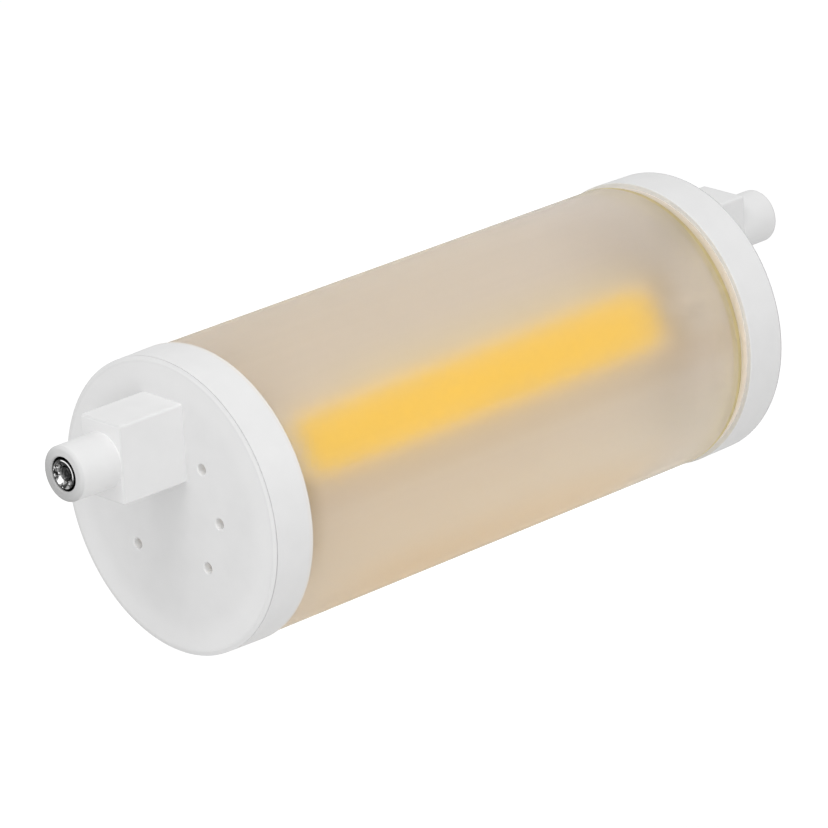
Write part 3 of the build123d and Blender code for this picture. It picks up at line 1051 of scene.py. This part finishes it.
def ring_quads(index):
    """Quads between each ring of point numbers and the next; every ring closes on itself."""
    ahead = np.roll(index, -1, axis=1)
    return np.stack([index[:-1], ahead[:-1], ahead[1:], index[1:]], axis=-1).reshape(-1, 4)


def looped_faces(rings):
    """Points and faces of rings whose last one joins the first."""
    index = np.arange(rings[..., 0].size).reshape(rings.shape[:2])
    return rings.reshape(-1, 3), ring_quads(np.vstack([index, index[:1]])).tolist()


def poled_faces(rings):
    """Points and faces of rings that end in one point each, with a fan of triangles there."""
    body = rings[1:-1]
    index = np.arange(body[..., 0].size).reshape(body.shape[:2])
    points = np.vstack([body.reshape(-1, 3), rings[[0, -1], 0]])
    first, last = np.full(TURN_STEPS, index.size), np.full(TURN_STEPS, index.size + 1)
    first_fan = np.stack([first, np.roll(index[0], -1), index[0]], axis=-1)
    last_fan = np.stack([index[-1], np.roll(index[-1], -1), last], axis=-1)
    return points, ring_quads(index).tolist() + first_fan.tolist() + last_fan.tolist()


# %% A smooth mesh, and its place in the lamp
SHARP_DEGREES = 30


def smooth_mesh(name, points, faces):
    """A new piece, smooth but for its sharp edges."""
    mesh = bpy.data.meshes.new(name)
    mesh.from_pydata(points.tolist(), [], faces)
    mesh.polygons.foreach_set("use_smooth", np.ones(len(faces), bool))
    mesh.set_sharp_from_angle(angle=radians(SHARP_DEGREES))
    piece = bpy.data.objects.new(name, mesh)
    scene.collection.objects.link(piece)
    return piece


def dress(piece, node, finish):
    """Let a new piece stand for a CAD node, with its finish."""
    piece.data.materials.append(finishes[finish])
    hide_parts(node)
    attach(piece, "root")
    print(piece.name, "with", len(piece.data.polygons), "faces stands for", node)


# %% [markdown]
# The tube keeps the solid's sizes, which are read from its points. It is turned anew because
# light that passes a frosted wall shows every facet, and this surface is fine and smooth enough
# to show none.

# %% The frosted tube
SHOULDER_ROUND = 0.2 * MM
HAIR = 0.01 * MM


def arc(centre, size, start, end, steps=8):
    """Points on an ellipse, (x, r) = centre + size * (cos t, sin t), for angles in degrees."""
    t = np.radians(np.linspace(start, end, steps))
    return np.stack([centre[0] + size[0] * np.cos(t), centre[1] + size[1] * np.sin(t)], axis=1)


def node_points(node):
    """All points of a CAD node as one array."""
    points = np.empty(len(nodes[node].data.vertices) * 3, np.float32)
    nodes[node].data.vertices.foreach_get("co", points)
    return points.reshape(-1, 3).astype(float)


def frosted_tube():
    """Outline: bore, right neck, rounded shoulder, outside, rounded shoulder, left neck."""
    points = node_points("diffuser_tube")
    radius = np.hypot(points[:, 1], points[:, 2])
    left, right = points[:, 0].min(), points[:, 0].max()
    bore, outer = radius.min(), radius.max()
    neck = radius[points[:, 0] > right - HAIR].max()
    body = points[radius > neck + HAIR, 0]
    left_shoulder, right_shoulder = body.min(), body.max()
    size = (SHOULDER_ROUND, SHOULDER_ROUND)
    round_radius = outer - SHOULDER_ROUND
    outline = np.vstack(
        [
            [(left, bore), (right, bore), (right, neck), (right_shoulder, neck)],
            arc((right_shoulder - SHOULDER_ROUND, round_radius), size, 0, 90),
            arc((left_shoulder + SHOULDER_ROUND, round_radius), size, 90, 180),
            [(left_shoulder, neck), (left, neck)],
        ]
    )
    radii = [round(value / MM, 2) for value in (bore, neck, outer)]
    shoulders = [round(value / MM, 2) for value in (left_shoulder, right_shoulder)]
    print("tube: bore, neck and outer radius", radii, "mm, shoulders at", shoulders, "mm")
    return turned_surface("frosted_tube", outline[:, 0], outline[:, 1], 0.0)


dress(frosted_tube(), "diffuser_tube", "frosted_tube")

# %% [markdown]
# Each contact is a turned button: a dome in a dish with a rounded rim, and behind it the shank
# that is riveted over inside the boss. The right one is the outline as written, and the left one
# is the same with x turned over.

# %% The contacts
NOSE_TIP_MM = 59.0
DOME_HEIGHT_MM = 0.55
DOME_RADIUS_MM = 0.95
DOME_END_DEGREES = 84
DISH_FLOOR_RADIUS_MM = 1.22
DISH_BEND_MM = (0.3, 0.22)
HEAD_RADIUS_MM = 1.82
HEAD_INSET_MM = 0.05
HEAD_BACK_MM = 56.8
RIM_ROUND_MM = 0.14
SHANK_RADIUS_MM = 1.0
RIVET_RADIUS_MM = 1.6
RIVET_MM = (51.35, 50.85)


def contact_outline():
    """Rows of (x, radius) in metres: dome, dish, rim as a half ring, side, shank and rivet."""
    dish = NOSE_TIP_MM - DOME_HEIGHT_MM
    bend_centre = (dish + DISH_BEND_MM[0], DISH_FLOOR_RADIUS_MM)
    rim_centre = (NOSE_TIP_MM - HEAD_INSET_MM - RIM_ROUND_MM, HEAD_RADIUS_MM - RIM_ROUND_MM)
    rivet_front, rivet_back = RIVET_MM
    rows = [
        arc((dish, 0.0), (DOME_HEIGHT_MM, DOME_RADIUS_MM), 0, DOME_END_DEGREES, 12),
        arc(bend_centre, DISH_BEND_MM, 180, 90, 6),
        arc(rim_centre, (RIM_ROUND_MM, RIM_ROUND_MM), -90, 90, 12),
        [(HEAD_BACK_MM, HEAD_RADIUS_MM), (HEAD_BACK_MM, SHANK_RADIUS_MM)],
        [(rivet_front, SHANK_RADIUS_MM), (rivet_front, RIVET_RADIUS_MM)],
        [(rivet_back, RIVET_RADIUS_MM), (rivet_back, 0.0)],
    ]
    return np.vstack(rows) * MM


def contact(side, sign):
    """One contact, with x turned over where the sign is -1."""
    outline = contact_outline()
    name = "contact_turned_" + side
    return turned_surface(name, sign * outline[:, 0], outline[:, 1], NOSE_HEIGHT)


for side, sign in (("left", -1), ("right", 1)):
    dress(contact(side, sign), "contact_" + side, "contact_metal")
